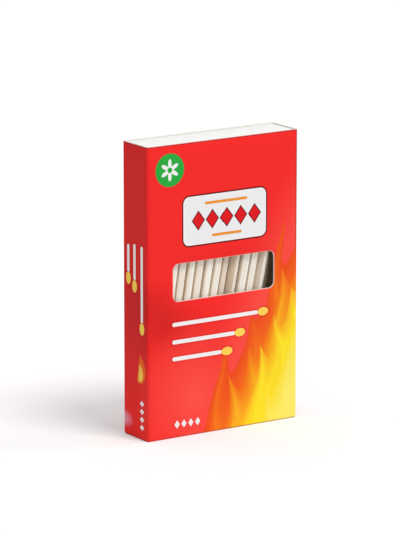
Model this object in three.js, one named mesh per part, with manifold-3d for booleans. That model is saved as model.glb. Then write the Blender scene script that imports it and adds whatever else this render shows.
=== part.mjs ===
// A matchbox for long gas matches: a printed card sleeve with a window in its
// front, a plain card tray that slides inside it, and the matches that stand in
// the tray with their heads up.
//
// Millimetres. +Z is up, the front with the window faces -Y, and the origin is
// the middle of the lower end, on which the box stands.

import * as THREE from "three";
import { mergeVertices } from "three/addons/utils/BufferGeometryUtils.js";
import Module from "manifold-3d";

const wasm = await Module();
wasm.setup();

// Matches
const matchLength = 85;
const splintSide = 2.7;
const headLength = 5.5;
const headSwell = 0.25; // how far the head stands out past each side of the splint
const headChamfer = 0.55; // cut off each corner of the head, seen from its end
const headTaper = 0.65; // how much narrower the head is at its tip, on each side
const headDome = 1.9; // length of the rounded part at each end of the head
const headOverlap = 2.5; // how far the splint reaches into the head

// Card
const cardThickness = 0.45;
const foldInside = 0.35; // radius inside a fold
const foldSteps = 4; // flat facets in a quarter turn of a fold

// Tray
const trayInnerWidth = 54.7;
const endSpare = 8.6; // room left over between the ends, along the matches
const tabLength = 11; // the side walls' tabs, glued inside the end walls
const bedGap = 0.35; // from the back panel to the heads of the first row
const rowGap = 0.85; // from the heads of one row to those of the next
const frontSpare = 0.25; // from the front row's heads to the tray's open edge

// Sleeve
const slideClearance = 0.25; // on each side of the tray
const endSetback = 0.5; // how much shorter the tray is than the sleeve
const flapWidth = 10; // glue flap inside the back panel
const lapSetback = 0.3; // from the fold to the back panel's cut edge
const windowWidth = 38.5;
const windowHeight = 12.1;
const windowSill = 44.4; // height of its lower edge
const windowOffset = 0.25; // from the middle of the front, towards +X
const windowRadius = 2;

// How the matches stand
const wallGap = 0.15; // from a wall of the tray to the nearest match
const footGap = 0.1; // under each foot
const besideGap = 0.05; // from one match to the next
const steepestLean = THREE.MathUtils.degToRad(15);

// Sizes that follow from the ones above
const foldOutside = foldInside + cardThickness;
const splintHalf = splintSide / 2;
const headHalf = splintHalf + headSwell;
const rowPitch = 2 * headHalf + rowGap;

// Each row from the front to the back. The feet stand side by side from the
// left wall, and the heads side by side up to headStop from the right wall.
// rolls turn the matches about their own length, in degrees, headSpread opens a
// wider gap to the right of a head, and depth sets a match further back. The
// lists repeat along the row.
const rows = [
  {
    count: 11,
    headStop: 2.6,
    rolls: [0, 3, -4, 2, 0, 5, -3, 31, 2, -3, 27],
    headSpread: [0, 0, 0, 0.25, 0, 0, 0.15, 0, 0, 0.25, 0],
    depth: [0, 0.1, 0, 0.15, 0, 0.05, 0.6, 0.1, 0, 0.1, 0],
  },
  { count: 14, headStop: 1.5, rolls: [4, 0, -6, 2, 7, -3, 0], headSpread: [0, 0.04], depth: [0] },
  { count: 15, headStop: 0.2, rolls: [0, -5, 3], headSpread: [0], depth: [0] },
];

const trayInnerDepth = bedGap + rows.length * rowPitch - rowGap + frontSpare;
const trayInnerLength = matchLength + endSpare;
const trayLength = trayInnerLength + 2 * cardThickness;
const trayHalf = trayInnerWidth / 2 + cardThickness;
const sleeveWidth = 2 * (trayHalf + slideClearance + cardThickness);
const sleeveDepth = trayInnerDepth + 2 * slideClearance + 4 * cardThickness;
const sleeveLength = trayLength + endSetback;

const sleeveLeft = -sleeveWidth / 2;
const sleeveRight = sleeveWidth / 2;
const sleeveFront = -sleeveDepth / 2;
const sleeveBack = sleeveDepth / 2;
const trayFront = sleeveFront + cardThickness + slideClearance;
const trayBack = trayFront + trayInnerDepth + cardThickness;

// A closed geometry as a solid that can be joined and cut.
function toSolid(geometry) {
  const bare = geometry.clone();
  bare.deleteAttribute("normal");
  bare.deleteAttribute("uv");
  const merged = mergeVertices(bare);
  return new wasm.Manifold(new wasm.Mesh({
    numProp: 3,
    vertProperties: new Float32Array(merged.attributes.position.array),
    triVerts: new Uint32Array(merged.index.array),
  }));
}

function toGeometry(solid) {
  const mesh = solid.getMesh();
  const geometry = new THREE.BufferGeometry();
  geometry.setAttribute("position", new THREE.BufferAttribute(mesh.vertProperties, 3));
  geometry.setIndex(new THREE.BufferAttribute(mesh.triVerts, 1));
  geometry.computeVertexNormals();
  return geometry;
}

// Points round a fold, from one angle to another in quarter turns.
function bend(x, y, radius, fromQuarter, toQuarter) {
  const points = [];
  for (let step = 0; step <= foldSteps; step += 1) {
    const quarter = fromQuarter + ((toQuarter - fromQuarter) * step) / foldSteps;
    const angle = (quarter * Math.PI) / 2;
    points.push(point(x + radius * Math.cos(angle), y + radius * Math.sin(angle)));
  }
  return points;
}

function point(x, y) {
  return new THREE.Vector2(x, y);
}

// A flat outline drawn across X and Y, drawn up along Z.
function alongZ(outline, low, high, holes = []) {
  const shape = new THREE.Shape(outline);
  shape.holes = holes.map((hole) => new THREE.Path(hole));
  const geometry = new THREE.ExtrudeGeometry(shape, { depth: high - low, bevelEnabled: false });
  return geometry.translate(0, 0, low);
}

// A flat outline drawn across X and Z, drawn out along Y.
function alongY(outline, low, high) {
  const geometry = alongZ(outline, -high, -low);
  const turn = new THREE.Matrix4().makeBasis(
    new THREE.Vector3(1, 0, 0),
    new THREE.Vector3(0, 0, 1),
    new THREE.Vector3(0, -1, 0),
  );
  return geometry.applyMatrix4(turn);
}

// A flat outline drawn across Y and Z, drawn out along X.
function alongX(outline, low, high) {
  const geometry = alongZ(outline, low, high);
  const turn = new THREE.Matrix4().makeBasis(
    new THREE.Vector3(0, 1, 0),
    new THREE.Vector3(0, 0, 1),
    new THREE.Vector3(1, 0, 0),
  );
  return geometry.applyMatrix4(turn);
}

function mirrored(outline) {
  return outline.map((corner) => point(-corner.x, corner.y));
}

// The sleeve is one card folded round: front, two narrow sides and back. The
// right side carries the glue flap, and the back panel laps over the flap.
function sleeveGeometry() {
  const flapBack = sleeveBack - cardThickness;
  const leftFold = sleeveLeft + foldOutside;
  const rightFold = sleeveRight - foldOutside;
  const frontFold = sleeveFront + foldOutside;
  const outside = [
    ...bend(leftFold, frontFold, foldOutside, 2, 3),
    ...bend(rightFold, frontFold, foldOutside, 3, 4),
    ...bend(rightFold, flapBack - foldOutside, foldOutside, 0, 1),
    point(rightFold - lapSetback, flapBack),
    point(rightFold - lapSetback, sleeveBack),
    ...bend(leftFold, sleeveBack - foldOutside, foldOutside, 1, 2),
  ];
  const inside = [
    ...bend(leftFold, frontFold, foldInside, 2, 3),
    ...bend(rightFold, frontFold, foldInside, 3, 4),
    ...bend(rightFold, flapBack - foldOutside, foldInside, 0, 1),
    point(sleeveRight - flapWidth, flapBack - cardThickness),
    point(sleeveRight - flapWidth, flapBack),
    ...bend(leftFold, sleeveBack - foldOutside, foldInside, 1, 2),
  ];
  const tube = toSolid(alongZ(outside, 0, sleeveLength, [inside]));
  return toGeometry(tube.subtract(windowCutter()));
}

function windowCutter() {
  const left = windowOffset - windowWidth / 2 + windowRadius;
  const right = windowOffset + windowWidth / 2 - windowRadius;
  const low = windowSill + windowRadius;
  const high = windowSill + windowHeight - windowRadius;
  const outline = [
    ...bend(left, low, windowRadius, 2, 3),
    ...bend(right, low, windowRadius, 3, 4),
    ...bend(right, high, windowRadius, 0, 1),
    ...bend(left, high, windowRadius, 1, 2),
  ];
  return toSolid(alongY(outline, sleeveFront - cardThickness, sleeveFront + 2 * cardThickness));
}

// The tray is one card too, open to the front: a back panel, two side walls
// whose tabs turn in behind the end walls, and two end walls glued to the tabs.
function trayGeometry() {
  const sideFold = trayHalf - foldOutside;
  const backFold = trayBack - foldOutside;
  const wall = trayHalf - cardThickness;
  const trough = [
    point(-trayHalf, trayFront),
    ...bend(-sideFold, backFold, foldOutside, 2, 1),
    ...bend(sideFold, backFold, foldOutside, 1, 0),
    point(trayHalf, trayFront),
    point(wall, trayFront),
    ...bend(sideFold, backFold, foldInside, 0, 1),
    ...bend(-sideFold, backFold, foldInside, 1, 2),
    point(-wall, trayFront),
  ];
  const lowTab = cardThickness + foldOutside;
  const highTab = trayLength - lowTab;
  const tabTip = wall - tabLength;
  const sideWithTabs = [
    point(tabTip, cardThickness),
    ...bend(sideFold, lowTab, foldOutside, 3, 4),
    ...bend(sideFold, highTab, foldOutside, 0, 1),
    point(tabTip, trayLength - cardThickness),
    point(tabTip, trayLength - 2 * cardThickness),
    ...bend(sideFold, highTab, foldInside, 1, 0),
    ...bend(sideFold, lowTab, foldInside, 4, 3),
    point(tabTip, 2 * cardThickness),
  ];
  const panelRun = 2 * foldOutside;
  const lowEnd = [
    point(trayFront, 0),
    ...bend(backFold, foldOutside, foldOutside, 3, 4),
    point(trayBack, panelRun),
    point(trayBack - cardThickness, panelRun),
    ...bend(backFold, foldOutside, foldInside, 4, 3),
    point(trayFront, cardThickness),
  ];
  const highEnd = lowEnd.map((corner) => point(corner.x, trayLength - corner.y));
  const pieces = [
    alongY(sideWithTabs, trayFront, backFold),
    alongY(mirrored(sideWithTabs), trayFront, backFold),
    alongX(lowEnd, -sideFold, sideFold),
    alongX(highEnd, -sideFold, sideFold),
  ];
  const start = toSolid(alongZ(trough, foldOutside, trayLength - foldOutside));
  return toGeometry(pieces.reduce((solid, piece) => solid.add(toSolid(piece)), start));
}

// A square with its corners cut off, centred on the match's own length.
function cutSquare(half, chamfer) {
  const inner = half - chamfer;
  return [
    point(half, -inner),
    point(half, inner),
    point(inner, half),
    point(-inner, half),
    point(-half, inner),
    point(-half, -inner),
    point(-inner, -half),
    point(inner, -half),
  ];
}

const splintOutline = cutSquare(splintHalf, 0);
const headOutline = cutSquare(headHalf, headChamfer);

// One match, foot at the origin and head up: a square wooden splint dipped at
// one end, so that the head is a rounded cushion round the end of the splint.
function matchGeometry() {
  const splintLength = matchLength - headLength + headOverlap;
  const splint = new THREE.BoxGeometry(splintSide, splintSide, splintLength);
  splint.translate(0, 0, splintLength / 2);
  const tipChamfer = headChamfer - headTaper * (2 - Math.SQRT2);
  const tip = new THREE.Shape(cutSquare(headHalf - headTaper, tipChamfer));
  const head = new THREE.ExtrudeGeometry(tip, {
    depth: headLength - 2 * headDome,
    bevelThickness: headDome,
    bevelSize: headTaper,
    bevelSegments: 2,
  });
  head.translate(0, 0, matchLength - headLength + headDome);
  return toGeometry(toSolid(splint).add(toSolid(head)));
}

// How far an outline reaches sideways when it is turned about its middle.
function reach(outline, roll) {
  const sideways = (corner) => Math.abs(corner.x * Math.cos(roll) - corner.y * Math.sin(roll));
  return Math.max(...outline.map(sideways));
}

// The card that a foot stands on: a tab near the side walls, or the end wall.
function floorUnder(x, half) {
  const overTab = Math.abs(x) + half > trayHalf - cardThickness - tabLength;
  return overTab ? 2 * cardThickness : cardThickness;
}

// The matches of a row, each with its turn and with half the width that its
// splint and its head take. Only as many stand in the row as its heads let in.
function matchesOf(row, room) {
  const across = 1 / Math.cos(steepestLean);
  const item = (list, index) => list[index % list.length];
  const places = [];
  let taken = row.headStop;
  for (let index = 0; index < row.count; index += 1) {
    const roll = THREE.MathUtils.degToRad(item(row.rolls, index));
    const half = reach(splintOutline, roll) * across;
    const halfHead = reach(headOutline, roll) * across;
    const spread = besideGap + item(row.headSpread, index);
    taken += 2 * halfHead + spread;
    if (taken > room) break;
    places.push({ roll, half, halfHead, spread, deeper: item(row.depth, index) });
  }
  return places;
}

// Where each match of a row stands, and how it leans and turns.
function layRow(row, rowNumber) {
  const wall = trayHalf - cardThickness - wallGap;
  const headHeight = matchLength - headLength / 2;
  const places = matchesOf(row, 2 * wall);
  let foot = -wall;
  places.forEach((place) => {
    place.foot = foot + place.half;
    foot += 2 * place.half + besideGap;
  });
  let head = wall - row.headStop;
  [...places].reverse().forEach((place) => {
    head -= place.spread + place.halfHead;
    place.lean = Math.asin((head - place.foot) / headHeight);
    head -= place.halfHead;
  });
  const rowMiddle = trayFront + frontSpare + headHalf + rowNumber * rowPitch;
  places.forEach((place) => {
    place.y = rowMiddle + place.deeper;
    const tilt = Math.abs(Math.sin(place.lean)) * place.half;
    place.z = floorUnder(place.foot, place.half) + footGap + tilt;
  });
  return places;
}

function piece(name, geometry, colour, roughness) {
  const material = new THREE.MeshStandardMaterial({ color: colour, roughness, metalness: 0 });
  const mesh = new THREE.Mesh(geometry, material);
  mesh.name = name;
  return mesh;
}

const matchbox = new THREE.Group();
matchbox.add(piece("sleeve", sleeveGeometry(), 0xe8322c, 0.45));
matchbox.add(piece("tray", trayGeometry(), 0xf3f2ee, 0.8));

const match = matchGeometry();
rows.flatMap(layRow).forEach((place, index) => {
  const name = `match_${String(index + 1).padStart(2, "0")}`;
  const mesh = piece(name, match, 0xdcc9a8, 0.75);
  mesh.position.set(place.foot, place.y, place.z);
  mesh.rotation.set(0, place.lean, place.roll, "YZX");
  matchbox.add(mesh);
});

export default matchbox;
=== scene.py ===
# %% [markdown]
# # A matchbox for long matches
#
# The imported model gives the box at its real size: a card sleeve with a window,
# a card tray that slides in it, and forty matches. Here each of them gets the
# folds, edges and finishes of the real thing. Everything is in metres and in the
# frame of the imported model: +Z is up, and the front with the window faces -Y.

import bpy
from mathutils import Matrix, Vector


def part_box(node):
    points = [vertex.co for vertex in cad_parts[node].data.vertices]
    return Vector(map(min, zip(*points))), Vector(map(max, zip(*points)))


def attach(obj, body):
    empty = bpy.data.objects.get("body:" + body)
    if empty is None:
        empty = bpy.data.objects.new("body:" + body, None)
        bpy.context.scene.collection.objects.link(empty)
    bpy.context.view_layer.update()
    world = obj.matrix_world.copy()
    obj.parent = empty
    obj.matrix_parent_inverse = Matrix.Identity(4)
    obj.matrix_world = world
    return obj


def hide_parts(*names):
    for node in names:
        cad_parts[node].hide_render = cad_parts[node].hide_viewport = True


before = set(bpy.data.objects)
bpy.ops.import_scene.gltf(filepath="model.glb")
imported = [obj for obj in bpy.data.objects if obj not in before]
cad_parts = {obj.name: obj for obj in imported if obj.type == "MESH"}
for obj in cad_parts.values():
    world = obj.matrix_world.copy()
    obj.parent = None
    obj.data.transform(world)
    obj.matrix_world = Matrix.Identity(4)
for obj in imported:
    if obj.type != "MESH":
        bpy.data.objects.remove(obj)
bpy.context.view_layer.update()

# %% [markdown]
# ## Sizes
#
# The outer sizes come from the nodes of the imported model, so that the dressed
# pieces stand exactly where the plain ones do. Only what a box can't tell, such
# as the thickness of the card, is written here again.

# %% Sizes read from the frame
import math
import random
from contextlib import contextmanager

import bmesh
import bpy
from mathutils import Matrix, Vector, noise

MM = 0.001
CARD = 0.45 * MM
FOLD_INSIDE = 0.1 * MM
FOLD = FOLD_INSIDE + CARD
FOLD_STEPS = 6

sleeve_low, sleeve_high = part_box("sleeve")
tray_low, tray_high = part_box("tray")
WIDTH, DEPTH, HEIGHT = sleeve_high - sleeve_low
print("sleeve", [round(s / MM, 2) for s in (WIDTH, DEPTH, HEIGHT)], "mm")

# %% [markdown]
# ## Camera
#
# The photograph was taken from far away with a long lens, so the upright edges
# stay almost parallel. The camera stands 33.5 degrees to the left of the front
# and 13 degrees above the table. It looks along that line, but a little to the
# side of the box's middle, which puts the box where the photograph has it
# without any lens shift.

# %% The camera
IMAGE_HEIGHT_PX = 533
FOCAL_PX = 3925.7
SENSOR_MM = 36
AZIMUTH, ELEVATION = math.radians(-33.46), math.radians(12.76)
DISTANCE = 1.2518
ASIDE, ABOVE = -3.44 * MM, 4.61 * MM


def add_camera():
    backward = Vector((
        math.sin(AZIMUTH) * math.cos(ELEVATION),
        -math.cos(AZIMUTH) * math.cos(ELEVATION),
        math.sin(ELEVATION),
    ))
    right = (-backward).cross(Vector((0, 0, 1))).normalized()
    up = right.cross(-backward)
    place = Vector((0, 0, HEIGHT / 2)) + backward * DISTANCE + right * ASIDE + up * ABOVE
    data = bpy.data.cameras.new("camera")
    data.sensor_width = SENSOR_MM
    data.lens = FOCAL_PX * SENSOR_MM / IMAGE_HEIGHT_PX
    data.clip_start, data.clip_end = 0.05, 20
    camera = bpy.data.objects.new("camera", data)
    bpy.context.scene.collection.objects.link(camera)
    turn = Matrix((right, up, backward)).transposed().to_4x4()
    camera.matrix_world = Matrix.Translation(place) @ turn
    bpy.context.scene.camera = camera
    return camera


camera = add_camera()
print("lens", round(camera.data.lens, 1), "mm at", [round(c, 3) for c in camera.location])

# %% [markdown]
# ## Small tools for modelling by hand
#
# Every piece below is made as it would be at the desk: a primitive is added, put
# into edit mode, and shaped with operators. An operator works on all that is
# selected, so these helpers first select just what is meant.

# %% Selecting and editing
EDGE_SOFTNESS = 0.05 * MM
SHARP_FROM = math.radians(50)


def only(obj):
    """Makes obj the one selected object, and the active one."""
    bpy.ops.object.select_all(action="DESELECT")
    obj.select_set(True)
    bpy.context.view_layer.objects.active = obj


def settled(name, scale=(1, 1, 1)):
    """Names the new primitive and puts its place, turn and scale into its mesh."""
    obj = bpy.context.view_layer.objects.active
    obj.scale = scale
    only(obj)
    obj.name = obj.data.name = name
    bpy.ops.object.transform_apply(location=True, rotation=True, scale=True)
    return obj


@contextmanager
def editing(obj, kind="EDGE"):
    only(obj)
    bpy.ops.object.mode_set(mode="EDIT")
    bpy.ops.mesh.select_mode(type=kind)
    yield
    bpy.ops.object.mode_set(mode="OBJECT")


def middle(part):
    """The middle of an edge, a face or a vertex."""
    corners = [part] if isinstance(part, bmesh.types.BMVert) else part.verts
    return sum((v.co for v in corners), Vector()) / len(corners)


def choose(obj, kind, test):
    """Selects the verts, edges or faces that pass the test, and nothing else."""
    shape = bmesh.from_edit_mesh(obj.data)
    for part in [*shape.verts, *shape.edges, *shape.faces]:
        part.select_set(False)
    for part in getattr(shape, kind):
        if test(part):
            part.select_set(True)
    bmesh.update_edit_mesh(obj.data)


def near(a, b, slack=0.01 * MM):
    return abs(a - b) < slack


def modifier(obj, kind, **settings):
    """Adds a modifier and applies it."""
    only(obj)
    added = obj.modifiers.new(kind.lower(), kind)
    for name, value in settings.items():
        setattr(added, name, value)
    bpy.ops.object.modifier_apply(modifier=added.name)


def smooth(obj, degrees=35):
    only(obj)
    bpy.ops.object.shade_smooth_by_angle(angle=math.radians(degrees))


def soften_edges(obj):
    """Takes the sharpness off the edges of cut card."""
    modifier(
        obj, "BEVEL", width=EDGE_SOFTNESS, segments=2, limit_method="ANGLE",
        angle_limit=SHARP_FROM, use_clamp_overlap=True,
    )


# %% [markdown]
# ## Folding card
#
# A folded card could be drawn as a ring and extruded upwards, but it is easier to
# believe when it is made as the real one is: one strip of card, run out straight
# along each panel and turned round each fold. `run` extrudes the leading edge,
# and `fold` spins it a quarter turn. The strip is the card's printed face, and
# Solidify gives it its thickness inwards afterwards.

# %% Run out, fold, cut across
QUARTER = math.pi / 2


def run(*step):
    bpy.ops.mesh.extrude_edges_move(TRANSFORM_OT_translate={"value": step})


def fold(centre, axis, angle=QUARTER):
    """Turns the leading edge: a positive angle is clockwise, seen from the axis's tip."""
    bpy.ops.mesh.spin(steps=FOLD_STEPS, angle=angle, center=centre, axis=axis)


def cut_across(obj, axis, places):
    """Cuts every face along planes across an axis, so that the card can bow."""
    for place in places:
        bpy.ops.mesh.select_all(action="SELECT")
        point, normal = Vector(), Vector()
        point[axis], normal[axis] = place, 1
        bpy.ops.mesh.bisect(plane_co=point, plane_no=normal, threshold=1e-7)


def evenly(low, high, step):
    count = max(1, round((high - low) / step))
    return [low + (high - low) * i / count for i in range(1, count)]


def face_out(obj, test, direction):
    """Turns all the faces so that the ones that pass the test face a direction."""
    bpy.ops.mesh.select_all(action="SELECT")
    bpy.ops.mesh.normals_make_consistent(inside=False)
    shape = bmesh.from_edit_mesh(obj.data)
    sample = next(f for f in shape.faces if test(middle(f)))
    if sample.normal.dot(Vector(direction)) < 0:
        bpy.ops.mesh.flip_normals()


def give_thickness(obj):
    """Solidifies the card inwards: slot 0 stays outside, 1 goes inside, 2 on cut edges."""
    for _ in range(3):
        obj.data.materials.append(None)
    modifier(
        obj, "SOLIDIFY", thickness=CARD, offset=-1, use_even_offset=True,
        material_offset=1, material_offset_rim=2,
    )


# %% [markdown]
# ## The sleeve
#
# The strip starts at the glue flap inside the back, runs round the right side,
# the front and the left side, and ends in the back panel, which laps over the
# flap and stops just short of the fold. Looked at from above, that lap is what
# tells a folded box from a tube. The fold between the front and the left side
# was creased less sharply than the others, so it has a wider radius.

# %% Fold the sleeve
FLAP_WIDTH = 10 * MM
LAP_SETBACK = 0.3 * MM
GLUE = 0.03 * MM
SOFT_FOLD = 0.85 * MM
CUT_EVERY = {"across": 5 * MM, "deep": 4 * MM, "up": 5 * MM, "up, at the foot": 0.2 * MM}
FOOT = 2 * MM
BESIDE_FOLDS = (0.4 * MM, 0.9 * MM)
FRONT, BACK = sleeve_low.y, sleeve_high.y
LEFT, RIGHT = sleeve_low.x, sleeve_high.x


def fold_sleeve():
    flap_back = BACK - CARD - GLUE
    flap_low, flap_high = RIGHT - FLAP_WIDTH, RIGHT - FOLD
    bpy.ops.mesh.primitive_plane_add(
        size=1,
        location=((flap_low + flap_high) / 2, flap_back, HEIGHT / 2),
        rotation=(QUARTER, 0, 0),
    )
    obj = settled("sleeve_card", (flap_high - flap_low, HEIGHT, 1))
    with editing(obj):
        choose(obj, "edges", lambda e: near(middle(e).x, flap_high))
        up = (0, 0, 1)
        fold((RIGHT - FOLD, flap_back - FOLD, 0), up)
        run(0, FRONT - flap_back + 2 * FOLD, 0)
        fold((RIGHT - FOLD, FRONT + FOLD, 0), up)
        run(-(WIDTH - FOLD - SOFT_FOLD), 0, 0)
        fold((LEFT + SOFT_FOLD, FRONT + SOFT_FOLD, 0), up)
        run(0, DEPTH - FOLD - SOFT_FOLD, 0)
        fold((LEFT + FOLD, BACK - FOLD, 0), up)
        run(WIDTH - 2 * FOLD - LAP_SETBACK, 0, 0)
        bpy.ops.mesh.select_all(action="SELECT")
        bpy.ops.mesh.remove_doubles(threshold=1e-6)
        cut_across(obj, 2, evenly(0, FOOT, CUT_EVERY["up, at the foot"]))
        cut_across(obj, 2, evenly(0, HEIGHT, CUT_EVERY["up"]))
        cut_across(obj, 0, evenly(LEFT + SOFT_FOLD, RIGHT - FOLD, CUT_EVERY["across"]))
        cut_across(obj, 1, evenly(FRONT + SOFT_FOLD, BACK - FOLD, CUT_EVERY["deep"]))
        for beside in BESIDE_FOLDS:
            cut_across(obj, 0, [LEFT + SOFT_FOLD + beside, RIGHT - FOLD - beside])
            cut_across(obj, 1, [FRONT + SOFT_FOLD + beside, BACK - FOLD - beside])
        face_out(obj, lambda m: near(m.y, FRONT), (0, -1, 0))
    return obj


sleeve = fold_sleeve()
print("sleeve strip:", len(sleeve.data.polygons), "faces")

# %% [markdown]
# A folded and handled card isn't quite flat. The front and the back bow out by about
# a tenth of a millimetre. The lower corners, on which the box has been set down, are
# crushed up, the rear left one the most, and the lower rim has worn round inwards.
# A lattice could bend it so too, but formulas for the vertices of the strip, before
# it gets its thickness, say just how much moves where.

# %% Bow the panels, blunt the lower corners and round the rim
BOW = 0.12 * MM
CRUSH_HEIGHT = 2 * MM
CRUSH_WIDTH = 1.3 * MM
CRUSH = {"rear left": 0.75 * MM, "front left": 0.12 * MM, "right": 0.5 * MM}
RIM_HEIGHT = 0.5 * MM
RIM_TUCK = 0.14 * MM


def crush_at(co):
    """How far the lower corner nearest to a point is crushed up."""
    if co.x > 0:
        return CRUSH["right"]
    return CRUSH["rear left"] if co.y > 0 else CRUSH["front left"]


def handled(co):
    """Where a point of the strip lies once the box has been handled."""
    across = 1 - (2 * co.x / WIDTH) ** 2
    along = 1 - (2 * co.z / HEIGHT - 1) ** 2
    bulge = BOW * max(0, across) * max(0, along)
    moved = co.copy()
    if near(co.y, FRONT):
        moved.y -= bulge
    elif near(co.y, BACK):
        moved.y += bulge
    from_fold = math.hypot(WIDTH / 2 - abs(co.x), DEPTH / 2 - abs(co.y))
    low = max(0, 1 - co.z / CRUSH_HEIGHT)
    close = max(0, 1 - from_fold / CRUSH_WIDTH)
    moved.z += crush_at(co) * low * low * close * close
    tuck = RIM_TUCK * max(0, 1 - co.z / RIM_HEIGHT) ** 2
    if WIDTH / 2 - abs(co.x) < FOLD:
        moved.x -= math.copysign(tuck, co.x)
    if DEPTH / 2 - abs(co.y) < FOLD:
        moved.y -= math.copysign(tuck, co.y)
    return moved


for vertex in sleeve.data.vertices:
    vertex.co = handled(vertex.co)
give_thickness(sleeve)
print("bow", BOW / MM, "mm; crushed corners", [round(c / MM, 2) for c in CRUSH.values()], "mm")

# %% [markdown]
# ## The window
#
# The window was punched through the flat card with a rounded knife. Here the
# knife is a block with four rounded corners, and Boolean takes it away. The
# block's own faces carry slot 2, so the cut comes out with the raw card edge.

# %% Punch the window
WINDOW_WIDTH, WINDOW_HEIGHT = 38.5 * MM, 12.1 * MM
WINDOW_SILL, WINDOW_OFFSET = 44.4 * MM, 0.25 * MM
WINDOW_RADIUS = 2 * MM
RADIUS_STEPS = 8
KNIFE_DEPTH = 4 * CARD


def punch_window(card):
    bpy.ops.mesh.primitive_cube_add(
        size=1,
        location=(WINDOW_OFFSET, FRONT, WINDOW_SILL + WINDOW_HEIGHT / 2),
    )
    knife = settled("window_knife", (WINDOW_WIDTH, KNIFE_DEPTH, WINDOW_HEIGHT))
    with editing(knife):
        choose(knife, "edges", lambda e: near(e.verts[0].co.x, e.verts[1].co.x)
               and near(e.verts[0].co.z, e.verts[1].co.z))
        bpy.ops.mesh.bevel(offset=WINDOW_RADIUS, segments=RADIUS_STEPS, affect="EDGES")
    for _ in range(3):
        knife.data.materials.append(None)
    for polygon in knife.data.polygons:
        polygon.material_index = 2
    modifier(card, "BOOLEAN", operation="DIFFERENCE", solver="EXACT", object=knife)
    bpy.data.objects.remove(knife)


punch_window(sleeve)
soften_edges(sleeve)
smooth(sleeve)
print("sleeve:", len(sleeve.data.polygons), "faces")

# %% [markdown]
# ## The tray
#
# The tray is one card as well. From the back panel the side walls fold forwards,
# their ends fold inwards as glued tabs, and last the end walls fold over the tabs.
# A box with its inside cut out would look much the same from outside, but the folded
# card also shows its tabs and its thickness when the tray is open. While the box is
# shut, only the upper end wall shows. It has been pushed out by a few tenths of a
# millimetre, nearly up to the sleeve's edge, and a vertex move does that.

# %% Fold the tray
TAB_LENGTH = 11 * MM
TRAY_CUTS_UP, TRAY_CUTS_ACROSS = 10 * MM, 8 * MM
END_PUSH = 0.3 * MM
PUSH_REACH = 3 * MM


def fold_tray():
    half = tray_high.x
    front, back = tray_low.y, tray_high.y
    length = tray_high.z
    wall_depth = back - FOLD - front
    tab_start = CARD + GLUE + FOLD
    bpy.ops.mesh.primitive_plane_add(
        size=1,
        location=(0, back, length / 2),
        rotation=(QUARTER, 0, 0),
    )
    obj = settled("tray_card", (2 * (half - FOLD), length - 2 * tab_start, 1))
    with editing(obj):
        for side in (-1, 1):
            edge_x = side * (half - FOLD)
            choose(obj, "edges", lambda e: near(middle(e).x, edge_x))
            fold((edge_x, back - FOLD, 0), (0, 0, 1), side * QUARTER)
            run(0, -wall_depth, 0)
            for end in (0, 1):
                edge_z = tab_start if end == 0 else length - tab_start
                choose(obj, "edges", lambda e: near(middle(e).z, edge_z)
                       and near(e.verts[0].co.x, e.verts[1].co.x)
                       and near(abs(middle(e).x), half) and middle(e).x * side > 0
                       and abs(e.verts[0].co.y - e.verts[1].co.y) > wall_depth / 2)
                turn = -side * QUARTER if end == 0 else side * QUARTER
                fold((edge_x, 0, edge_z), (0, 1, 0), turn)
                run(-side * (TAB_LENGTH + CARD - FOLD), 0, 0)
        for end in (0, 1):
            start_z = tab_start if end == 0 else length - tab_start
            fold_z = FOLD if end == 0 else length - FOLD
            turn = QUARTER if end == 0 else -QUARTER
            choose(obj, "edges", lambda e: near(middle(e).z, start_z) and near(middle(e).y, back))
            run(0, 0, fold_z - start_z)
            fold((0, back - FOLD, fold_z), (1, 0, 0), turn)
            run(0, -wall_depth, 0)
        bpy.ops.mesh.select_all(action="SELECT")
        bpy.ops.mesh.remove_doubles(threshold=1e-6)
        cut_across(obj, 2, evenly(2 * FOLD, length - 2 * FOLD, TRAY_CUTS_UP))
        cut_across(obj, 0, evenly(FOLD - half, half - FOLD, TRAY_CUTS_ACROSS))
        face_out(obj, lambda m: near(m.y, back), (0, 1, 0))
    give_thickness(obj)
    return obj


def pushed_out(co):
    """Where a point of the tray lies once its upper end has been pushed out."""
    share = max(0, 1 - (tray_high.z - co.z) / PUSH_REACH)
    return Vector((co.x, co.y, co.z + END_PUSH * share))


tray = fold_tray()
for vertex in tray.data.vertices:
    vertex.co = pushed_out(vertex.co)
soften_edges(tray)
smooth(tray)
print("tray:", len(tray.data.polygons), "faces")

# %% [markdown]
# ## The matches
#
# One match is modelled once, standing on the origin, and copied forty times. A
# splint is chopped from aspen veneer, so its long edges are nearly sharp and a
# little torn, and its end is cut straight. The head is what stays on the splint
# after a dip in a wet paste: a cushion that has drawn itself round over the end.

# %% Model one splint and one head
HEAD_LENGTH = 5.5 * MM
HEAD_SWELL = 0.25 * MM
HEAD_ROUNDING = 0.75 * MM
HEAD_TIP = 0.8
EDGE_BEVEL = 0.2 * MM
SPLINT_CUTS = 1.6 * MM


def splint_corners(node):
    """The middle of a match's foot, its head's tip, and the foot's corners."""
    points = {tuple(round(c, 7) for c in v.co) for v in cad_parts[node].data.vertices}
    points = [Vector(p) for p in points]
    lowest, highest = min(points, key=lambda p: p.z), max(points, key=lambda p: p.z)
    guess = (highest - lowest).normalized()
    along = sorted(points, key=lambda p: p.dot(guess))
    foot = along[:4]
    tips = along[-8:]
    return sum(foot, Vector()) / 4, sum(tips, Vector()) / 8, foot


first_foot, first_tip, first_corners = splint_corners("match_01")
MATCH_LENGTH = (first_tip - first_foot).length
SIDE = sorted((c - first_corners[0]).length for c in first_corners)[1]
print("match", round(MATCH_LENGTH / MM, 2), "mm long, splint", round(SIDE / MM, 2), "mm square")


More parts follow.
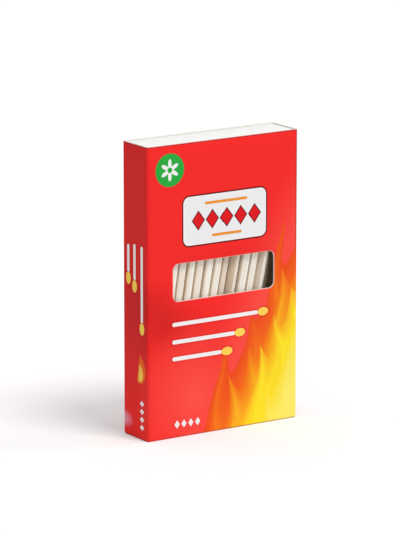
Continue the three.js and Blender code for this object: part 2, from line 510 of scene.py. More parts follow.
def model_splint():
    length = MATCH_LENGTH - HEAD_LENGTH / 2
    bpy.ops.mesh.primitive_cube_add(size=1, location=(0, 0, length / 2))
    obj = settled("splint", (SIDE, SIDE, length))
    with editing(obj):
        choose(obj, "edges", lambda e: not near(e.verts[0].co.z, e.verts[1].co.z))
        bpy.ops.mesh.bevel(offset=EDGE_BEVEL, segments=2, affect="EDGES")
        cut_across(obj, 2, evenly(0, length, SPLINT_CUTS))
    return obj


def model_head():
    wide = SIDE + 2 * HEAD_SWELL
    bpy.ops.mesh.primitive_cube_add(
        size=1, location=(0, 0, MATCH_LENGTH - HEAD_LENGTH / 2))
    obj = settled("head", (wide, wide, HEAD_LENGTH))
    with editing(obj):
        bpy.ops.mesh.select_all(action="SELECT")
        bpy.ops.mesh.bevel(offset=HEAD_ROUNDING, segments=2, affect="EDGES")
        tip = MATCH_LENGTH
        choose(obj, "faces", lambda f: near(middle(f).z, tip) and f.normal.z > 0.9)
        bpy.ops.transform.resize(value=(HEAD_TIP, HEAD_TIP, 1), center_override=(0, 0, tip))
    modifier(obj, "SUBSURF", levels=1, render_levels=1)
    return obj


splint_model = model_splint()
head_model = model_head()
print("splint", len(splint_model.data.polygons), "faces, head", len(head_model.data.polygons))

# %% [markdown]
# Each copy is moved to the place of its node: the foot, the lean and the turn are
# read from the node's own corners. On the left of its front each splint has a broad,
# ragged split edge, where the knife broke out instead of cutting. No two splints are
# alike, so each copy gets a character: an offset into the noise, how brown its wood is,
# how wide it is, and the width of its split edge in millimetres. The brownness is partly
# painted shade: the rear rows are browner, which darkens the gaps of the front row, and
# in the front row the matches that stand back are browner. In the front row, which
# shows in the window, the last three are set one by one. Blender starts its noise from
# the clock, so the noise gets a seed, and every run makes the same box.
#
# The wood has to follow the splint and not the box. So each vertex keeps its place on
# the upright splint in an attribute called grain, and an attribute called tan
# says how brown the wood is there: its own tone, with painted shade on the left flank.

# %% Stand forty matches in the tray
BOW_OF_SPLINT = 0.05 * MM
TORN, TORN_EVERY = 0.05 * MM, 1.1 * MM
TORN_ON_FACES = 0.25
RAGGED_EVERY = 2.5 * MM
LUMP, LUMP_EVERY = 0.05 * MM, 1.3 * MM
# Painted shade: how brown the left flank of every splint is drawn, where it turns away from the
# light.
FLANK_PAINTED_SHADE = 0.85
# The rear rows' brownness varies at random and is partly painted shade, which darkens what shows
# through the gaps of the front row.
REAR_TAN_AND_SHADE, REAR_WIDTH, REAR_SPLIT = (0.15, 0.65), (0.93, 1.0), (0.4, 1.0)
# Front row, one by one: brownness, width and split edge of each match. The brownness is partly
# painted shade, most on the seventh match, which stands back.
FRONT_ROW = [
    (0.05, 1.00, 0.5), (0.20, 0.95, 0.4), (0.00, 0.96, 1.0), (0.20, 0.97, 0.5),
    (0.00, 1.00, 0.8), (0.10, 1.00, 0.6), (0.45, 0.75, 0.5), (0.25, 0.90, 0.5),
    (0.05, 1.00, 0.4), (0.10, 0.85, 0.5), (0.05, 0.85, 0.4),
]
NOISE_SEED = 40


class Character:
    """What sets one match apart from the next."""

    def __init__(self, name, number):
        rng = random.Random(name)
        self.offset = Vector([rng.uniform(-5, 5) for _ in range(3)])
        self.tan = rng.uniform(*REAR_TAN_AND_SHADE)
        self.width = rng.uniform(*REAR_WIDTH)
        self.split = rng.uniform(*REAR_SPLIT)
        if number <= len(FRONT_ROW):
            self.tan, self.width, self.split = FRONT_ROW[number - 1]


def standing(node):
    """The matrix that takes the model match to a node's place, with its front forwards."""
    foot, tip, corners = splint_corners(node)
    up = (tip - foot).normalized()
    across = 1.2 * SIDE
    sides = [(c - corners[0]).normalized() for c in corners[1:]
             if (c - corners[0]).length < across]
    rightwards = max(sides + [-side for side in sides], key=lambda side: side.x)
    rightwards = (rightwards - up * rightwards.dot(up)).normalized()
    turn = Matrix((rightwards, up.cross(rightwards), up)).transposed().to_4x4()
    return Matrix.Translation(foot) @ turn


def copy_of(model, name, node, roughen, tan_and_shade_at):
    obj = bpy.data.objects.new(name, model.data.copy())
    obj.data.name = name
    bpy.context.scene.collection.objects.link(obj)
    character = Character(name, int(node.split("_")[1]))
    for label, kind in (("grain", "FLOAT_VECTOR"), ("tan", "FLOAT")):
        obj.data.attributes.new(label, kind, "POINT")
    grain, tan = (obj.data.attributes[label].data for label in ("grain", "tan"))
    for index, vertex in enumerate(obj.data.vertices):
        grain[index].vector = vertex.co / MM + character.offset * 20
        # The splint's brownness, partly painted shade, plus painted shade on its left flank.
        tan[index].value = character.tan + tan_and_shade_at(vertex.co) * character.split
        vertex.co = roughen(vertex.co, character)
    obj.data.transform(standing(node))
    return obj


def from_split_edge(co):
    """How far a splint's vertex lies from the edge on the left of its front."""
    return Vector((co.x + SIDE / 2, co.y + SIDE / 2, 0))


# Painted shade on the left flank of a splint, the more the wider its split edge is.
def painted_flank_shade(co):
    return FLANK_PAINTED_SHADE if from_split_edge(co).x < 0.6 * EDGE_BEVEL else 0


def torn(co, character):
    """A splint's vertex, with its split edge, its width, its bow and its roughness."""
    offset = character.offset
    away = from_split_edge(co)
    shaped = co.copy()
    if max(away.x, away.y) < 1.01 * EDGE_BEVEL:
        ragged = 1 + 0.5 * noise.noise(Vector((co.z / RAGGED_EVERY, offset.x, offset.y)))
        shaped += away * (character.split * MM * ragged / EDGE_BEVEL - 1)
    shaped.x *= character.width
    bow = math.sin(math.pi * co.z / MATCH_LENGTH) * BOW_OF_SPLINT
    on_edge = abs(co.x) + abs(co.y) > SIDE * 0.62
    shake = noise.noise_vector(co / TORN_EVERY + offset) * TORN
    shake *= 1 if on_edge else TORN_ON_FACES
    shake.z = 0
    return shaped + Vector((math.cos(offset.x), math.sin(offset.x), 0)) * bow + shake


def lumpy(co, character):
    """A head's vertex, uneven as dried paste is."""
    return co + noise.noise_vector(co / LUMP_EVERY + character.offset) * LUMP


noise.seed_set(NOISE_SEED)
match_nodes = sorted(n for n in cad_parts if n.startswith("match_"))
splints = {n: copy_of(splint_model, n + "_splint", n, torn, painted_flank_shade) for n in match_nodes}
heads = {n: copy_of(head_model, n + "_head", n, lumpy, lambda co: 0) for n in match_nodes}
for piece in [*splints.values(), *heads.values()]:
    smooth(piece, 40)
for model in (splint_model, head_model):
    bpy.data.objects.remove(model)
print("matches:", len(splints))

# %% [markdown]
# ## The striking surface
#
# The coat that the matches are struck on is on the narrow side away from the
# camera. It is a paste of red phosphorus, glass powder and binder, printed a few
# hundredths of a millimetre thick. It could be painted on the card's finish, but as
# a thin plate with slightly ragged edges that lies on the card it also catches light
# along its rim.

# %% Lay the striking coat
COAT_THICKNESS = 0.06 * MM
COAT_MARGIN = 2.2 * MM
COAT_LIFT = 0.005 * MM
COAT_CUTS = 11
COAT_RAGGED, COAT_RAGGED_EVERY = 0.12 * MM, 2.5 * MM


def lay_coat():
    size_y, size_z = DEPTH - CARD - 2 * COAT_MARGIN, HEIGHT - 2 * COAT_MARGIN
    bpy.ops.mesh.primitive_plane_add(
        size=1,
        location=(RIGHT + COAT_LIFT, -CARD / 2, HEIGHT / 2),
        rotation=(QUARTER, 0, QUARTER),
    )
    obj = settled("striking_coat", (size_y, size_z, 1))
    with editing(obj, "FACE"):
        bpy.ops.mesh.select_all(action="SELECT")
        bpy.ops.mesh.subdivide(number_cuts=COAT_CUTS)
        bpy.ops.mesh.extrude_region_move(
            TRANSFORM_OT_translate={"value": (COAT_THICKNESS, 0, 0)})
        bpy.ops.mesh.select_all(action="SELECT")
        bpy.ops.mesh.normals_make_consistent(inside=False)
    for vertex in obj.data.vertices:
        ragged = noise.noise_vector(vertex.co / COAT_RAGGED_EVERY) * COAT_RAGGED
        vertex.co += Vector((0, ragged.y, ragged.z))
    return obj


coat = lay_coat()
print("striking coat:", len(coat.data.polygons), "faces")

# %% [markdown]
# ## Shader maths as expressions
#
# The print is made of fields of colour whose outlines are formulas, such as the
# distance to a rounded box. Written as Python, such a formula is short, so a
# socket is wrapped in a class whose operators add the Math nodes. Everything
# else, such as a noise texture, comes from one method of the finish.

# %% A socket that can be calculated with
class Value:
    """A shader socket in Python arithmetic."""

    def __init__(self, finish, socket):
        self.finish = finish
        self.socket = socket

    def maths(self, operation, *others, **settings):
        settings["operation"] = operation
        return self.finish.node("ShaderNodeMath", settings, [self, *others])

    def __add__(self, other):
        return self.maths("ADD", other)

    def __sub__(self, other):
        return self.maths("SUBTRACT", other)

    def __mul__(self, other):
        return self.maths("MULTIPLY", other)

    def __truediv__(self, other):
        return self.maths("DIVIDE", other)

    def __pow__(self, other):
        return self.maths("POWER", other)

    def __rsub__(self, other):
        return self.finish.node("ShaderNodeMath", {"operation": "SUBTRACT"}, [other, self])

    def __abs__(self):
        return self.maths("ABSOLUTE")

    def __neg__(self):
        return self * -1

    __radd__ = __add__
    __rmul__ = __mul__

    def below(self, other):
        return self.maths("MINIMUM", other)

    def above(self, other):
        return self.maths("MAXIMUM", other)

    def clamped(self):
        return self.maths("ADD", 0.0, use_clamp=True)

    def past(self, start, steepness):
        """0 up to a start, and from there rising to 1 at the most."""
        return ((self - start) * steepness).clamped()

    def inside(self, softness=0.12):
        """1 where this distance is negative, 0 outside, with a soft edge in mm."""
        return self.maths("MULTIPLY_ADD", -1 / softness, 0.5, use_clamp=True)


class Finish:
    """One material, its Principled shader, and one method that adds any node."""

    def __init__(self, name, **constants):
        self.material = bpy.data.materials.new(name)
        self.material.use_nodes = True
        self.tree = self.material.node_tree
        self.shader = self.tree.nodes["Principled BSDF"]
        for socket, value in constants.items():
            self.shader.inputs[socket.replace("_", " ")].default_value = value

    def node(self, kind, settings=None, inputs=(), output=0):
        """Adds a node, sets it, feeds it, and gives back one of its outputs."""
        node = self.tree.nodes.new(kind)
        for name, value in (settings or {}).items():
            setattr(node, name, value)
        pairs = inputs.items() if isinstance(inputs, dict) else enumerate(inputs)
        for key, value in pairs:
            self.feed(node.inputs[key], value)
        return Value(self, node.outputs[output])

    def feed(self, socket, value):
        if isinstance(value, Value):
            self.tree.links.new(value.socket, socket)
        else:
            socket.default_value = value

    def surface(self, **sockets):
        """Feeds sockets of the Principled shader."""
        for name, value in sockets.items():
            self.feed(self.shader.inputs[name.replace("_", " ")], value)

    def mix(self, under, over, mask):
        """The colour over on the colour under, where the mask is 1."""
        inputs = {0: mask, 6: under, 7: over}
        return self.node("ShaderNodeMix", {"data_type": "RGBA"}, inputs, output=2)

    def place(self):
        """The x, y and z of a point on the piece, in millimetres."""
        here = self.node("ShaderNodeTexCoord", output="Object")
        split = self.node("ShaderNodeSeparateXYZ", inputs=[here]).socket.node
        return [Value(self, split.outputs[i]) * 1000 for i in range(3)]

    def point(self, x, y, z):
        return self.node("ShaderNodeCombineXYZ", inputs=[x, y, z])

    def noise(self, where, scale, detail=3.0, roughness=0.55):
        inputs = {"Vector": where, "Scale": scale, "Detail": detail, "Roughness": roughness}
        return self.node("ShaderNodeTexNoise", inputs=inputs)

    def relief(self, height, depth):
        """A bump whose height of 1 stands depth millimetres high."""
        inputs = {"Height": height, "Distance": depth * MM, "Strength": 1.0}
        return self.node("ShaderNodeBump", inputs=inputs)


def ink(red, green, blue):
    """A colour from the values a picture shows, 0 to 255, as light for the shader."""
    def light(value):
        share = value / 255
        return share / 12.92 if share <= 0.04045 else ((share + 0.055) / 1.055) ** 2.4
    return (light(red), light(green), light(blue), 1)


print("finish tools ready")

# %% [markdown]
# ## Outlines for the print
#
# Each function gives the distance in millimetres from a point to an outline,
# negative inside. Points are on the flat sheet, before it was folded: u runs
# across the card and v up it, so a motif can run round a fold.

# %% Distances to simple shapes
STICK_THICKNESS = 1.3
HEAD_ROOM = 4.6
HALF_HEAD_LONG, HALF_HEAD_WIDE = 2.0, 1.35
LEAN, LEAN_SWING = 0.45, 3.1
BELLY = 1.9


def length_of(a, b):
    return (a * a + b * b) ** 0.5


def rounded_box(u, v, centre, size, radius):
    over_u = abs(u - centre[0]) - (size[0] / 2 - radius)
    over_v = abs(v - centre[1]) - (size[1] / 2 - radius)
    outer = length_of(over_u.above(0), over_v.above(0))
    return outer + over_u.above(over_v).below(0) - radius


def disc(u, v, centre, radius):
    return length_of(u - centre[0], v - centre[1]) - radius


def stick(u, v, start, end, height, thickness):
    """A bar with round ends, lying along u."""
    over = (abs(u - (start + end) / 2) - (end - start) / 2).above(0)
    return length_of(over, v - height) - thickness / 2


def little_match(u, v, start, end, height):
    """A picture of a match: its stick, and apart from it its round head."""
    away = 1 if end > start else -1
    ends = sorted([start, end - away * HEAD_ROOM])
    bar = stick(u, v, *ends, height, STICK_THICKNESS)
    along, across = u - (end - away * HALF_HEAD_LONG), v - height
    reach = length_of(along / HALF_HEAD_LONG, across / HALF_HEAD_WIDE)
    return bar, reach * HALF_HEAD_WIDE - HALF_HEAD_WIDE


def diamonds(u, v, centre, count, pitch, half_width, half_height):
    """A row of diamonds, by repeating one cell."""
    along = (u - (centre[0] - pitch * count / 2)) / pitch
    across = abs(along.maths("FRACT") - 0.5) * (pitch * half_height / half_width)
    in_row = abs(u - centre[0]) - (pitch * count / 2 - 0.3)
    return (across + abs(v - centre[1]) - half_height).above(in_row)


def flame_drop(u, v, centre, base, height, width):
    """One small tongue of flame: round below, pointed above, leaning a little."""
    rise = ((v - base) / height).clamped()
    lean = (rise * LEAN_SWING).maths("SINE") * width * LEAN
    half = (1 - rise) ** 0.85 * (rise + 0.04) ** 0.45 * width * BELLY
    return (abs(u - centre + lean) - half).above(base - v).above(v - base - height)


def petals(u, v, centre, count, radius, depth):
    """A rosette of round petals."""
    du, dv = u - centre[0], v - centre[1]
    angle = du.maths("ARCTAN2", dv)
    wave = (angle * count).maths("COSINE") * depth + (radius - depth)
    return length_of(du, dv) - wave


# %% [markdown]
# ## The printed face
#
# A coated board, printed in flat red, with a satin varnish. The ornaments are
# plain ones: a plate with a row of diamonds, a rosette in a round badge, little
# matches, and tongues of flame that rise from the lower right corner. They could
# come from an image, but as formulas they stay sharp at any distance and need no
# file. Their places and sizes are millimetres on the flat sheet. The varnish has
# one roughness with a faint unevenness, and the folds and corners have lost a
# little ink. Painted shade darkens the red on the narrow side, and in a hair's
# breadth along the rims and the upper right fold.

# %% Print the sleeve
RED = ink(247, 46, 43)
DEEP_RED = ink(150, 16, 24)
GLOW_RED = ink(255, 84, 74)
SHADOW_RED = ink(190, 24, 26)
GLEAM = ink(240, 180, 205)
BARE = ink(244, 206, 198)
PLAIN_WHITE = ink(246, 244, 244)
PLATE = ink(240, 240, 241)
OUTLINE = ink(95, 14, 18)
GREEN = ink(46, 172, 66)
ORANGE = ink(238, 150, 50)
HEAD_YELLOW = ink(255, 214, 92)
FLAME_ORANGE = ink(240, 104, 30)
DIAMOND_RED = ink(226, 30, 36)
BADGE_RIM = ink(150, 110, 50)

PLATE_BOX = {"centre": (0.6, 69.7), "size": (31.3, 15.7), "radius": 2.2}
PLATE_ROW = {"centre": (1.2, 69.6), "count": 5, "pitch": 5.3,
             "half_width": 2.25, "half_height": 2.9}
PLATE_RULES = [(-6.5, 8.6, 74.9), (-3.8, 6.4, 64.3)]
RULE_THICKNESS = 0.9
BADGE_CENTRE, BADGE_RADIUS = (-20.1, 86.9), 5.25
ROSETTE = {"count": 6, "radius": 3.5, "depth": 1.1}
ROSETTE_HEART = 0.9
MATCHES_ON_FRONT = [(-18.6, 17.2, 37.0), (-18.6, 8.3, 31.3), (-18.6, 3.4, 25.8)]
MATCHES_ON_SIDE = [(-62.2, -34.2, 3.4), (-62.3, -47.3, 7.6), (-61.7, -49.4, 11.2)]
ROW_ON_FRONT = {"centre": (-13.6, 4.3), "count": 4, "pitch": 2.6,
                "half_width": 1.0, "half_height": 1.4}
ROW_ON_SIDE = {"centre": (8, 3.5), "count": 4, "pitch": 2.6,
               "half_width": 1.0, "half_height": 1.25}
SIDE_FLAME = {"centre": 4.6, "base": 18.4, "height": 9.2, "width": 2.5}
SIDE_FLAME_HEART = {"centre": 4.7, "base": 18.9, "height": 5.6, "width": 1.4}

# Painted shade on the narrow side: how much deeper its red is, and the height in mm from which it
# is full.
SIDE_PAINTED_SHADE, SIDE_SHADE_FULL_FROM = 0.3, 35
# Painted shade at the edges: how strong it is, and how far in mm it reaches from the upper rim,
# the lower rim and the right fold.
EDGE_PAINTED_SHADE = 0.75
DARK_UPPER, DARK_LOWER, DARK_RIGHT = 0.5, 0.45, 0.8
WAVE_ACROSS, WAVE_UP, WAVE_DRIFT, WAVE_START = 0.06, 0.13, 4, 1.5
SHADE_HEIGHT, SHADE_REACH, SHADE_DEPTH = 34, 19, 0.9
GLOW_MARGIN, GLOW_REACH, GLOW_DEPTH = 6, 32, 0.8

FLAME_LAYERS = [
    {"foot": -8.0, "slope": 1.60, "pitch": 11.5, "height": 17, "phase": 0.4, "depth": 20,
     "rim": ink(240, 76, 32), "heart": ink(250, 128, 30)},
    {"foot": -0.5, "slope": 1.70, "pitch": 9.0, "height": 15, "phase": 2.1, "depth": 14,
     "rim": ink(246, 112, 26), "heart": ink(253, 184, 38)},
    {"foot": 5.5, "slope": 1.80, "pitch": 7.6, "height": 13, "phase": 0.9, "depth": 9,
     "rim": ink(252, 176, 36), "heart": ink(255, 230, 44)},
    {"foot": 15.0, "slope": 2.2, "pitch": 6.4, "height": 10, "phase": 3.3, "depth": 14,
     "rim": ink(255, 228, 52), "heart": ink(255, 240, 110)},
]


def sheet_coordinates(x, y):
    """Unrolls the sleeve: the narrow sides lie flat beside the front."""
    behind_front = y - FRONT / MM
    return x + x.maths("SIGN") * behind_front


def edge_shade(u, v):
    """Painted shade: a hair's breadth of darker red along both rims and the upper right fold."""
    upper = (v - (HEIGHT / MM - DARK_UPPER)) * 6
    lower = (DARK_LOWER - v) * 5
    right = (DARK_RIGHT - abs(u - RIGHT / MM)) * 3
    return upper.above(lower).above(right.below((v - 50) / 15)).clamped()


def print_finish():
    finish = Finish("printed_card", Roughness=0.42, Specular_IOR_Level=0.04)
    x, y, z = finish.place()
    u, v = sheet_coordinates(x, y), z
    sheet = finish.point(u, v, 0.0)
    colour = finish.mix(RED, DEEP_RED, ground_shade(finish, sheet, u, v))
    colour = finish.mix(colour, GLOW_RED, flame_glow(u, v))
    colour = add_flames(finish, colour, u, v)
    colour = add_plate(finish, colour, u, v)
    colour = add_badge(finish, colour, u, v)
    # Painted shade: the narrow side, which gets less light, is printed a deeper red that fades
    # out towards the bottom.
    side = (-u + LEFT / MM).clamped() * (v / SIDE_SHADE_FULL_FROM).below(1)
    colour = finish.mix(colour, DEEP_RED, side * SIDE_PAINTED_SHADE)
    colour = add_side_flame(finish, colour, u, v)
    colour = add_white_marks(finish, colour, u, v)
    beyond = (y - (BACK / MM - 0.4)).above(u - RIGHT / MM - 0.3)
    colour = finish.mix(colour, RED, (beyond * 5).clamped())
    # Painted shade along the rims and the upper right fold.
    colour = finish.mix(colour, DEEP_RED, edge_shade(u, v) * EDGE_PAINTED_SHADE)
    colour = finish.mix(colour, BARE, worn(finish, x, y, z))
    fibres = finish.noise(finish.point(x, y, z), scale=2.2, detail=4.0)
    finish.surface(
        Base_Color=colour,
        Roughness=fibres * 0.1 + 0.37,
        Normal=finish.relief(fibres, depth=0.01),
    )
    return finish.material


def ground_shade(finish, sheet, u, v):
    """Broad darker waves in the red, below the window and on the narrow side."""
    drift = finish.noise(sheet, scale=0.03, detail=1.0)
    phase = u * WAVE_ACROSS + v * WAVE_UP + drift * WAVE_DRIFT + WAVE_START
    wave = phase.maths("SINE") * 0.5 + 0.5
    low = (1 - abs(v - SHADE_HEIGHT) / SHADE_REACH).clamped()
    left = ((-u - 6) / 30).clamped()
    return wave ** 1.6 * low ** 0.8 * left * SHADE_DEPTH


def flame_glow(u, v):
    """The light that the flames throw on the red: beside their slope, and low down."""
    first = FLAME_LAYERS[0]
    above_slope = v - (u - first["foot"]) * first["slope"] - GLOW_MARGIN
    beside = (1 - above_slope / GLOW_REACH).clamped() ** 2
    low = (1 - length_of(u + 10, (v - 12) * 0.9) / 24).clamped()
    return (beside * GLOW_DEPTH).above(low)


def add_flames(finish, colour, u, v):
    """Rows of licking tongues, each row in front of the last and brighter."""
    for layer in FLAME_LAYERS:
        phase = layer["phase"]
        bent = u + (v * 0.15 + phase * 2).maths("SINE") * 1.9
        turn = bent * (math.pi / layer["pitch"]) + phase
        tips = (1 - abs(turn.maths("SINE"))) ** 1.5
        uneven = (bent * 0.31 + phase * 3).maths("SINE") * 0.28 + 0.72
        edge = (u - layer["foot"]) * layer["slope"] + tips * uneven * layer["height"]
        deep = edge - v
        ramp = finish.mix(layer["rim"], layer["heart"], (deep / layer["depth"]).clamped())
        crease = (turn / math.pi).maths("FRACT")
        shaded = crease ** 3 * (1 - deep / 40).clamped() * 0.45
        ramp = finish.mix(ramp, layer["rim"], shaded)
        colour = finish.mix(colour, ramp, (deep * 1.6).clamped())
    return colour


def add_side_flame(finish, colour, u, v):
    """A small flame low on the narrow side, and a pale gleam by its far fold."""
    side_u = -u + LEFT / MM
    outer = flame_drop(side_u, v, **SIDE_FLAME)
    heart = flame_drop(side_u, v, **SIDE_FLAME_HEART)
    colour = finish.mix(colour, FLAME_ORANGE, outer.inside(softness=0.5))
    colour = finish.mix(colour, HEAD_YELLOW, heart.inside(softness=0.9))
    gleam = disc(side_u, (v - 5.2) * 1.9, centre=(14.4, 0.0), radius=0.5)
    return finish.mix(colour, GLEAM, (1 - gleam / 5.5).clamped() * 0.85)


def add_plate(finish, colour, u, v):
    plate = rounded_box(u, v, **PLATE_BOX)
    colour = finish.mix(colour, OUTLINE, (plate - 0.45).inside())
    colour = finish.mix(colour, PLAIN_WHITE, plate.inside())
    colour = finish.mix(colour, PLATE, (plate + 0.55).inside())
    row = diamonds(u, v, **PLATE_ROW)
    colour = finish.mix(colour, OUTLINE, (row - 0.35).inside())
    colour = finish.mix(colour, DIAMOND_RED, (row + 0.2).inside())
    upper, lower = (stick(u, v, *rule, RULE_THICKNESS) for rule in PLATE_RULES)
    return finish.mix(colour, ORANGE, upper.below(lower).inside())


def add_badge(finish, colour, u, v):
    badge = disc(u, v, BADGE_CENTRE, BADGE_RADIUS)
    colour = finish.mix(colour, BADGE_RIM, (badge - 0.15).inside(softness=0.25))
    colour = finish.mix(colour, GREEN, badge.inside())
    flower = petals(u, v, BADGE_CENTRE, **ROSETTE)
    heart = disc(u, v, BADGE_CENTRE, ROSETTE_HEART)
    white = flower.inside() * (1 - heart.inside())
    return finish.mix(colour, PLAIN_WHITE, white)


def add_white_marks(finish, colour, u, v):
    """Little matches and short rows of diamonds, on the front and the narrow side."""
    side_u = -u + LEFT / MM
    little = [little_match(u, v, *where) for where in MATCHES_ON_FRONT]
    little += [little_match(-v, side_u, *where) for where in MATCHES_ON_SIDE]
    bars = diamonds(u, v, **ROW_ON_FRONT).below(diamonds(v, side_u, **ROW_ON_SIDE))
    heads = little[0][1]
    for bar, head in little:
        bars, heads = bars.below(bar), heads.below(head)
    shadow = (bars.below(heads) - 0.3).inside(softness=0.9)
    colour = finish.mix(colour, SHADOW_RED, shadow * 0.55)
    colour = finish.mix(colour, PLAIN_WHITE, bars.inside())
    return finish.mix(colour, HEAD_YELLOW, heads.inside())


def worn(finish, x, y, z):
    """Where ink has gone: a hair along the cut edges, and spots along the folds."""
    half_width, half_depth = WIDTH / MM / 2, DEPTH / MM / 2
    to_fold = (half_width - abs(x)).above(half_depth - abs(y))
    to_end = z.below(HEIGHT / MM - z)
    window = rounded_box(
        x, z, (WINDOW_OFFSET / MM, (WINDOW_SILL + WINDOW_HEIGHT / 2) / MM),
        (WINDOW_WIDTH / MM, WINDOW_HEIGHT / MM), WINDOW_RADIUS / MM)
    to_cut = to_end.below(abs(window) + (y - (FRONT / MM + 0.3)).above(0) * 9)
    spots = finish.noise(finish.point(x, y, z), scale=1.4, detail=4.0, roughness=0.7)
    hair = (1 - to_cut / 0.22).clamped() * (spots + 0.35).clamped()
    rubbed = ((spots + (1 - to_fold / 0.5).clamped() * 0.35 - 0.93) * 6).clamped()
    return hair.above(rubbed * 0.7)


printed = print_finish()
print("print:", len(printed.node_tree.nodes), "nodes")

# %% [markdown]
# ## Bare board
#
# Inside, the card shows what it is made of: an uncoated board with fine pulp and a
# few darker flecks, bleached in the sleeve and light brown in the tray. The cut edges
# show the board from its side, a little darker, where the knife has opened the
# fibres.

# %% Inside, edges and the tray's white face
def board_finish(name, dark, pale):
    finish = Finish(name, Roughness=0.9)
    where = finish.point(*finish.place())
    pulp = finish.noise(where, scale=0.9, detail=5.0, roughness=0.65)
    flecks = finish.noise(where, scale=3.1, detail=2.0)
    colour = finish.mix(dark, pale, pulp)
    colour = finish.mix(colour, ink(206, 192, 174), flecks.past(0.66, 9) * 0.5)
    finish.surface(Base_Color=colour, Normal=finish.relief(pulp, depth=0.03))
    return finish.material


def edge_finish(name, pale):
    finish = Finish(name, Roughness=0.85)
    plies = finish.noise(finish.point(*finish.place()), scale=4.0, detail=3.0)
    colour = finish.mix(pale, ink(206, 190, 176), plies.past(0.45, 2.2) * 0.6)
    finish.surface(Base_Color=colour, Normal=finish.relief(plies, depth=0.04))
    return finish.material


def white_card_finish():
    finish = Finish("tray_card", Roughness=0.62)
    where = finish.point(*finish.place())
    cloud = finish.noise(where, scale=0.12, detail=2.0)
    fibres = finish.noise(where, scale=2.6, detail=4.0, roughness=0.6)
    finish.surface(
        Base_Color=finish.mix(ink(244, 244, 243), ink(236, 235, 232), cloud),
        Roughness=fibres * 0.12 + 0.56,
        Normal=finish.relief(fibres, depth=0.014),
    )
    return finish.material


board = board_finish("sleeve_inside", ink(234, 230, 223), ink(246, 243, 238))
tray_board = board_finish("tray_inside", ink(232, 200, 164), ink(246, 222, 192))
sleeve_edge = edge_finish("sleeve_edge", ink(242, 232, 226))
tray_edge = edge_finish("tray_edge", ink(238, 232, 222))
white_card = white_card_finish()
print("bare board finishes: 5")

# %% [markdown]
# ## Aspen and match paste
#
# Aspen is a pale, almost white wood with a fine straight grain. The grain
# attribute runs up each splint, so a noise that is squeezed along it gives long
# fibres. The tan attribute makes one splint browner than the next, partly as
# painted shade, and browns the left flank of each as painted shade, the more so the
# wider its split edge is.

# %% Wood and heads
def wood_finish():
    finish = Finish("match_wood", Roughness=0.72)
    grain = finish.node(
        "ShaderNodeAttribute", {"attribute_name": "grain"}, output="Vector")
    fibre_space = finish.node(
        "ShaderNodeVectorMath", {"operation": "MULTIPLY"}, [grain, (1.0, 1.0, 0.035)])
    fibres = finish.noise(fibre_space, scale=3.4, detail=5.0, roughness=0.6)
    streaks = finish.noise(fibre_space, scale=0.8, detail=2.0)
    tan = finish.node("ShaderNodeAttribute", {"attribute_name": "tan"}, output="Fac")
    # Brown where tan is high: the splint's own tone and painted shade together.
    colour = finish.mix(ink(248, 243, 232), ink(207, 173, 134), tan)
    colour = finish.mix(colour, ink(214, 186, 148), streaks.past(0.5, 3) * 0.5)
    colour = finish.mix(colour, ink(252, 248, 238), fibres.past(0.5, 3) * 0.5)
    finish.surface(
        Base_Color=colour,
        Roughness=fibres * 0.2 + 0.6,
        Normal=finish.relief(fibres, depth=0.06),
    )
    return finish.material


def paste_finish():
    finish = Finish("match_head", Roughness=0.7)
    grain = finish.node(
        "ShaderNodeAttribute", {"attribute_name": "grain"}, output="Vector")
    grit = finish.noise(grain, scale=4.5, detail=4.0, roughness=0.7)
    finish.surface(
        Base_Color=finish.mix(ink(62, 22, 18), ink(112, 44, 32), grit.past(0.4, 2.5)),
        Roughness=grit * 0.3 + 0.5,
        Normal=finish.relief(grit, depth=0.12),
    )
    return finish.material


def coat_finish():
    finish = Finish("striking_coat", Roughness=0.8)
    where = finish.point(*finish.place())
    dots = finish.node(
        "ShaderNodeTexVoronoi", {"feature": "F1"},
        {"Vector": where, "Scale": 1.25, "Randomness": 0.15})
    grit = finish.noise(where, scale=6.0, detail=3.0)
    colour = finish.mix(ink(66, 36, 32), ink(96, 56, 48), dots.past(0.3, 3))
    colour = finish.mix(colour, ink(120, 84, 72), grit.past(0.6, 4) * 0.6)
    finish.surface(
        Base_Color=colour,
        Roughness=grit * 0.3 + 0.6,
        Normal=finish.relief(grit + dots, depth=0.05),
    )
    return finish.material


wood, paste, strike = wood_finish(), paste_finish(), coat_finish()
print("wood, paste and coat ready")

# %% [markdown]
# ## Dress the pieces and hand them over
#
# A piece rides on the body it belongs to, replaces the plain node that it stands
# for, and names the slot of its finish. The sleeve stays while the tray and all
# that stands in it slides.

# %% Materials, bodies and slots
def dress(obj, materials):
    for index, material in enumerate(materials):
        if index < len(obj.data.materials):
            obj.data.materials[index] = material
        else:
            obj.data.materials.append(material)


dress(sleeve, [printed, board, sleeve_edge])
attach(sleeve, "sleeve")
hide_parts("sleeve")

dress(tray, [white_card, tray_board, tray_edge])
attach(tray, "tray")
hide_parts("tray")

dress(coat, [strike])
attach(coat, "sleeve")

for node in match_nodes:
    dress(splints[node], [wood])
    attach(splints[node], "tray")
    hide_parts(node)
    dress(heads[node], [paste])
    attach(heads[node], "tray")
print("dressed pieces:", 3 + len(splints) + len(heads))

# %% [markdown]
# ## Floor and light
#
# The photograph was taken on white in soft light. The main lamp stands before the
# front of the box and high up, a weak one fills in from the right, and an even white
# sky fills the shadows. Area lamps could do it too, but broad suns light every side
# of the box evenly. Together they light the front at about the level where a colour
# shows as it is written. The camera sees the floor white, and its shadow with it.

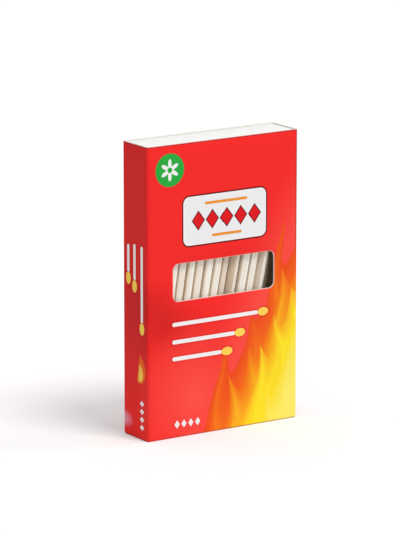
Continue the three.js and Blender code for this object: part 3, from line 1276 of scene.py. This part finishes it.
# %% Stage
SKY = 0.55
FLOOR_SIZE = 12
MAIN_LAMP = {"strength": 1.5, "degrees": 24, "towards": (0.15, -0.48, 0.86)}
FILL_LAMP = {"strength": 0.5, "degrees": 20, "towards": (0.85, -0.25, 0.45)}
WHITE = (1, 1, 1, 1)
BLACK = (0, 0, 0, 1)
FLOOR_GREY = (0.8, 0.8, 0.8, 1)
FLOOR_SEEN = (0.90, 0.78, 0.77, 1)
FLOOR_GLOW = (0.11, 0.225, 0.235, 1)


def add_floor():
    bpy.ops.mesh.primitive_plane_add(size=FLOOR_SIZE, location=(0, 0, 0))
    floor = settled("floor")
    finish = Finish("floor", Roughness=1.0)
    seen = finish.node("ShaderNodeLightPath", output="Is Camera Ray")
    finish.surface(
        Specular_IOR_Level=0.0,
        Base_Color=finish.mix(FLOOR_GREY, FLOOR_SEEN, seen),
        Emission_Color=finish.mix(BLACK, FLOOR_GLOW, seen),
        Emission_Strength=1.0,
    )
    floor.data.materials.append(finish.material)


def add_sky():
    world = bpy.data.worlds.new("sky")
    bpy.context.scene.world = world
    world.use_nodes = True
    tree = world.node_tree
    background = tree.nodes["Background"]
    background.inputs["Color"].default_value = WHITE
    path = tree.nodes.new("ShaderNodeLightPath")
    seen = tree.nodes.new("ShaderNodeMath")
    seen.operation = "MAXIMUM"
    tree.links.new(path.outputs["Is Camera Ray"], seen.inputs[0])
    tree.links.new(path.outputs["Is Glossy Ray"], seen.inputs[1])
    strength = tree.nodes.new("ShaderNodeMapRange")
    strength.inputs["To Min"].default_value = SKY
    strength.inputs["To Max"].default_value = 1.0
    tree.links.new(seen.outputs[0], strength.inputs["Value"])
    tree.links.new(strength.outputs["Result"], background.inputs["Strength"])


def add_lamp(name, strength, degrees, towards):
    """A sun as broad as the degrees say, standing in a direction from the box."""
    data = bpy.data.lights.new(name, "SUN")
    data.energy = strength
    data.angle = math.radians(degrees)
    lamp = bpy.data.objects.new(name, data)
    bpy.context.scene.collection.objects.link(lamp)
    lamp.rotation_euler = Vector(towards).to_track_quat("Z", "Y").to_euler()


add_floor()
add_sky()
add_lamp("main_lamp", **MAIN_LAMP)
add_lamp("fill_lamp", **FILL_LAMP)
bpy.context.scene.view_settings.view_transform = "Standard"
print("lamps:", len(bpy.data.lights))
